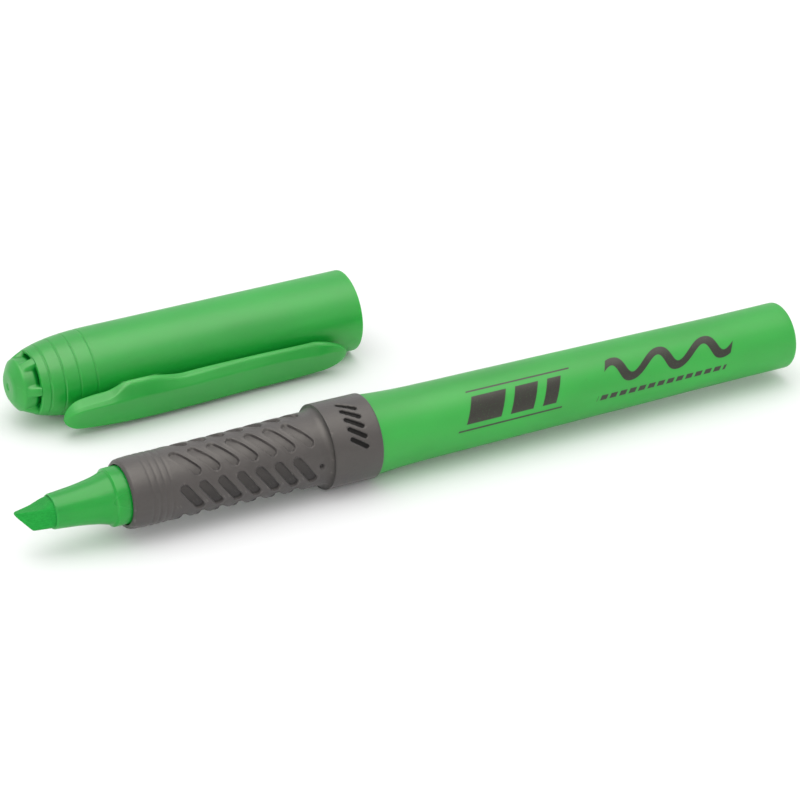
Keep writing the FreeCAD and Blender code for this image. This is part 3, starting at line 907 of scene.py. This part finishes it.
def printed_mark(g):
    """Generic print on the barrel: slanted swatches between rules, a bold wave and dashes.

    The share of ink comes from distances on the unrolled barrel, in millimetres.
    """
    x, y, z = g.axes()
    turn = g.maths("ARCTAN2", g.times(y, -1.0), z)
    around = g.times(g.minus(turn, PRINT_TURN), PRINT_R)
    leaning = g.plus(x, g.times(around, PRINT_LEAN))

    def band(value, centre, half):
        """Distance outside a band of values."""
        return g.minus(g.maths("ABSOLUTE", g.minus(value, centre)), half)

    def both(first, second):
        """Distance outside the overlap of two shapes."""
        return g.maths("MAXIMUM", first, second)

    shapes = []
    for centre, half in SWATCHES:
        height = band(around, SWATCH_MIDDLE, SWATCH_HALF)
        shapes.append(both(band(leaning, centre, half), height))
    for place in RULES:
        length = band(leaning, RULE_MIDDLE, RULE_LENGTH_HALF)
        shapes.append(both(length, band(around, place, RULE_HALF)))
    wave_length = band(leaning, WAVE_MIDDLE, WAVE_LENGTH_HALF)
    phase = g.times(leaning, WAVE_PER_MM)
    wave = g.times(g.maths("SINE", phase), WAVE_HEIGHT)
    swell = g.times(g.maths("COSINE", g.times(phase, 2.0)), STROKE_SWELL)
    off_wave = g.maths("ABSOLUTE", g.minus(g.plus(around, WAVE_LIFT), wave))
    shapes.append(both(g.minus(off_wave, g.plus(swell, STROKE_HALF)), wave_length))
    dash = g.minus(g.maths("PINGPONG", leaning, DASH_PITCH_HALF), DASH_HALF)
    row = band(around, DASH_PLACE, DASH_WIDTH_HALF)
    shapes.append(both(both(row, wave_length), dash))
    distance = shapes[0]
    for shape in shapes[1:]:
        distance = g.maths("MINIMUM", distance, shape)
    inked = g.ramp(distance, -PRINT_BLUR, PRINT_BLUR, to_low=1.0, to_high=0.0)
    worn = g.ramp(g.noise(per_mm=6.0, detail=3.0), 0.3, 0.42, to_low=0.85)
    return g.times(inked, worn)


def slot_shade(g, x, z, across):
    """Painted shade on the slots' floors, stronger on the lower side of the grip.

    The floors are what lies under the land, the sleeve's surface between the slots.
    """
    land = g.ramp(x, -23.0, LAND_START, to_low=GRIP_NECK_R, to_high=GRIP_LAND_R)
    floors = g.ramp(g.minus(land, across), 0.1, 0.3)
    sunk = g.times(floors, g.ramp(x, SLOTTED_START, SLOTTED_START + 0.5))
    # the painted shade is strongest where the sleeve faces down
    facing_down = g.ramp(g.maths("DIVIDE", z, across), -0.2, 0.8, to_low=0.6, to_high=0.05)
    return g.times(sunk, facing_down)


def collar_shade_and_fill(g, x, across):
    """Painted shade in the corner in front of the collar, and the black fill of the bars engraved
    in it.
    """
    # painted shade in the corner where the flank meets the collar
    off_corner = g.maths("ABSOLUTE", g.minus(x, FLANK_END - 0.1))
    corner = g.ramp(off_corner, 0.12, 0.4, to_low=0.75, to_high=0.0)
    corner = g.times(corner, g.ramp(across, 5.8, 6.1))
    below = g.ramp(across, COLLAR_R - 0.2, COLLAR_R - 0.1, to_low=0.9, to_high=0.0)
    filled = g.times(below, g.ramp(x, 0.3, 0.5))
    before_back = g.ramp(x, COLLAR_END - 0.8, COLLAR_END - 0.6, to_low=1.0, to_high=0.0)
    return corner, g.times(filled, before_back)


def rubber(name):
    """Soft matt rubber with painted shade in its hollows and slots, paler along its edges and a
    little dusty.
    """
    g = Graph(name)
    # dark is painted shade, mixed into the hollows, the slots' floors and the corner before the
    # collar
    base, light, dark = colour(34, 31, 34), colour(46, 42, 44), colour(20, 18, 19)
    ridge_grey, dust_grey, bar_black = colour(96, 91, 88), colour(110, 106, 100), colour(8, 8, 8)
    x, y, z = g.axes()
    across = g.maths("SQRT", g.plus(g.times(y, y), g.times(z, z)))
    mottle = g.ramp(g.noise(per_mm=0.25, detail=4.0), 0.3, 0.7)
    # painted shade: darker where the surface is hollow
    hollow_shade = g.ramp(g.edges(), 0.38, 0.46, to_low=0.35, to_high=0.0)
    ridge = g.ramp(g.edges(), 0.53, 0.6, to_high=0.4)
    dust = g.ramp(g.noise(per_mm=9.0, detail=2.0), 0.66, 0.74, to_high=0.15)
    # corner is painted shade; filled is the black fill of the collar's bars
    corner, filled = collar_shade_and_fill(g, x, across)
    # painted shade on the slots' floors
    sunk = slot_shade(g, x, z, across)
    tone = g.mix(mottle, base, light)
    for share, paint in (
        (hollow_shade, dark), (ridge, ridge_grey), (dust, dust_grey),
        (corner, dark), (sunk, dark), (filled, bar_black),
    ):
        tone = g.mix(share, tone, paint)
    shine = g.ramp(g.maths("MAXIMUM", filled, sunk), 0.0, 0.9, to_low=0.88, to_high=0.15)
    grain = g.bump(g.noise(per_mm=7.0, detail=3.0), depth_mm=0.02)
    pores = g.bump(g.noise(per_mm=1.5, detail=2.0), depth_mm=0.03, after=grain)
    return g.finish(
        Base_Color=tone, Roughness=g.ramp(mottle, 0.0, 1.0, to_low=0.42, to_high=0.52),
        Normal=pores, Sheen_Weight=0.1, Sheen_Roughness=0.6, Specular_IOR_Level=shine,
        Specular_Tint=WARM_SHINE,
    )


def felt(name):
    """Ink-soaked bonded felt with fibres along the pen."""
    g = Graph(name)
    fibre = g.noise(per_mm=5.0, detail=4.0, stretch=(0.18, 1, 1), rough=0.7)
    blotch = g.ramp(g.noise(per_mm=0.5, detail=3.0), 0.4, 0.7, to_high=0.5)
    worn = g.ramp(g.edges(), 0.52, 0.62, to_high=0.3)
    tone = g.mix(g.ramp(fibre, 0.35, 0.65), colour(14, 138, 46), colour(28, 156, 58))
    tone = g.mix(blotch, tone, colour(12, 132, 48))
    tone = g.mix(worn, tone, colour(44, 162, 66))
    rows = g.bump(fibre, depth_mm=0.05)
    pits = g.bump(g.noise(per_mm=9.0, detail=2.0), depth_mm=0.03, after=rows)
    return g.finish(
        Base_Color=tone, Roughness=0.85, Normal=pits, Sheen_Weight=0.1, Sheen_Roughness=0.5,
        Specular_IOR_Level=0.25,
    )


def reservoir_fibre(name):
    """Bundle of polyester fibres soaked with ink."""
    g = Graph(name)
    strands = g.noise(per_mm=6.0, detail=4.0, stretch=(0.05, 1, 1), rough=0.7)
    tone = g.mix(g.ramp(strands, 0.3, 0.7), colour(40, 150, 60), colour(110, 200, 110))
    return g.finish(Base_Color=tone, Roughness=0.9, Normal=g.bump(strands, depth_mm=0.08))


def thin_film(name, base, rough):
    """Thin drawn plastic, a little cloudy, with lines along it."""
    g = Graph(name)
    lines = g.noise(per_mm=3.0, detail=3.0, stretch=(0.04, 1, 1))
    cloud = g.ramp(g.noise(per_mm=0.3, detail=3.0), 0.3, 0.7)
    return g.finish(
        Base_Color=g.mix(cloud, shade(base, 0.8), base),
        Roughness=g.ramp(lines, 0.3, 0.7, to_low=rough, to_high=rough + 0.15),
        Normal=g.bump(lines, depth_mm=0.01),
    )


def dress(piece, material):
    """Gives a piece its only material."""
    piece.data.materials.clear()
    piece.data.materials.append(material)


# ---------------------------------------------------------------- assembly

barrel_plastic = moulded(
    "barrel_plastic", colour(12, 152, 47), rough=0.4, shine=0.75, ink=printed_mark,
)
cap_plastic = moulded("cap_plastic", colour(9, 154, 50), rough=0.4, shine=0.75)
nose_plastic = moulded("nose_plastic", colour(10, 150, 50), rough=0.3, shine=0.45, gloss=0.06)

# function that makes the piece, CAD node that it replaces, body, material, slot in the record
PIECES = (
    (chisel_nib, "chisel_nib", "pen", felt("nib_felt"), "nib_felt"),
    (nose, "nose_section", "pen", nose_plastic, "nose_green"),
    (grip, "grip_sleeve", "pen", rubber("grip_rubber"), "grip_rubber"),
    (barrel, "barrel", "pen", barrel_plastic, "barrel_green"),
    (rear_plug, "rear_plug", "pen", cap_plastic, "barrel_green"),
    (shell, "cap_shell", "cap", cap_plastic, "cap_green"),
    (liner, "inner_cap", "cap", cap_plastic, "cap_green"),
)
for build, node, body, material, record_slot in PIECES:
    piece = build()
    dress(piece, material)
    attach(piece, body)
    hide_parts(node)

clip_piece = clip()
dress(clip_piece, cap_plastic)
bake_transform(clip_piece)
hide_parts("cap_clip")

# CAD nodes inside the barrel keep their shape and only get a material
clear_film = thin_film("reservoir_film_clear", colour(205, 214, 206), rough=0.25)
white_tube = thin_film("air_tube_white", colour(226, 226, 220), rough=0.4)
INSIDE = (
    ("ink_reservoir", reservoir_fibre("reservoir_fibre"), "fibre"),
    ("reservoir_film", clear_film, "clear_film"),
    ("breather_tube", white_tube, "tube_white"),
)
for node, material, record_slot in INSIDE:
    dress(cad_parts[node], material)


# ---------------------------------------------------------------- stage, light and camera


def floor():
    """Pale floor that curves up far away from the object on every side."""
    columns = 96
    flat_r = 1500.0
    bend_r = 600.0
    steps = 12
    line = [(1.0, 0.0), (900.0, 0.0), (flat_r, 0.0)]
    for step in range(1, steps + 1):
        angle = math.pi / 2 * step / steps
        line.append((flat_r + bend_r * math.sin(angle), bend_r * (1 - math.cos(angle))))
    radius, height = np.array(line).T[:, :, None]
    angle = np.arange(columns) * TURN / columns
    points = np.stack(np.broadcast_arrays(
        radius * np.cos(angle), radius * np.sin(angle), height + TABLE_Z,
    ), axis=-1)
    faces = [list(range(columns))]
    for row in range(len(line) - 1):
        for column in range(columns):
            here = row * columns + column
            after = row * columns + (column + 1) % columns
            faces.append([here, here + columns, after + columns, after])
    mesh = bpy.data.meshes.new("floor")
    mesh.from_pydata((points.reshape(-1, 3) * MM).tolist(), [], faces)
    mesh.shade_smooth()
    g = Graph("floor_paper")
    cloud = g.ramp(g.noise(per_mm=0.02, detail=2.0), 0.3, 0.7)
    tone = g.mix(cloud, (0.9, 0.9, 0.9, 1), (0.905, 0.905, 0.905, 1))
    mesh.materials.append(g.finish(Base_Color=tone, Roughness=0.9))
    placed("floor", mesh)


def sun():
    """Broad soft sun, nearly overhead."""
    data = bpy.data.lights.new("broad_sun", "SUN")
    data.energy = 0.15
    data.angle = math.radians(50)
    made = placed("broad_sun", data)
    made.rotation_euler = Vector((0.1, 0.2, -1)).to_track_quat("-Z", "Y").to_euler()


def area_light(name, place, size, watts, glossy):
    """Round soft light at a place in metres, turned to the pen, for highlights or for fill."""
    data = bpy.data.lights.new(name, "AREA")
    data.shape = "DISK"
    data.size = size
    data.energy = watts
    made = placed(name, data)
    made.location = place
    made.rotation_euler = (-Vector(place)).to_track_quat("-Z", "Y").to_euler()
    made.visible_camera = False
    made.visible_diffuse = not glossy
    made.visible_glossy = glossy


def surroundings():
    """White world, slightly brighter above and behind."""
    world = bpy.data.worlds.new("studio")
    bpy.context.scene.world = world
    world.use_nodes = True
    nodes, links = world.node_tree.nodes, world.node_tree.links
    background = nodes["Background"]
    background.inputs["Color"].default_value = (1, 1, 1, 1)
    place = nodes.new("ShaderNodeTexCoord")
    towards = nodes.new("ShaderNodeVectorMath")
    towards.operation = "DOT_PRODUCT"
    towards.inputs[1].default_value = Vector((-0.35, 0.75, 0.55)).normalized()
    links.new(place.outputs["Generated"], towards.inputs[0])
    strength = nodes.new("ShaderNodeMapRange")
    strength.interpolation_type = "SMOOTHSTEP"
    for name, value in (("From Min", -0.5), ("From Max", 0.8), ("To Min", 0.92), ("To Max", 0.98)):
        strength.inputs[name].default_value = value
    links.new(towards.outputs["Value"], strength.inputs["Value"])
    links.new(strength.outputs["Result"], background.inputs["Strength"])
    bpy.context.scene.view_settings.view_transform = "Standard"


def camera():
    """Long lens, above and in front of the nib."""
    azimuth, elevation = math.radians(-27.75), math.radians(27.17)
    aim = Vector((13.74, 0, 4.54)) * MM
    distance = 0.6483
    back = Vector((
        math.sin(azimuth) * math.cos(elevation),
        -math.cos(azimuth) * math.cos(elevation),
        math.sin(elevation),
    ))
    data = bpy.data.cameras.new("camera")
    data.lens = 193.5
    data.sensor_width = 36.0
    made = placed("camera", data)
    made.location = aim + back * distance
    made.rotation_euler = (-back).to_track_quat("-Z", "Y").to_euler()
    bpy.context.scene.camera = made


floor()
surroundings()
sun()
area_light("softbox", (-0.05, -0.08, 0.6), size=0.9, watts=4.2, glossy=True)
area_light("overhead_fill", (0.0, 0.1, 0.6), size=0.7, watts=0.9, glossy=False)
area_light("front_fill", (-0.3, -0.55, 0.2), size=0.5, watts=1.2, glossy=False)
camera()
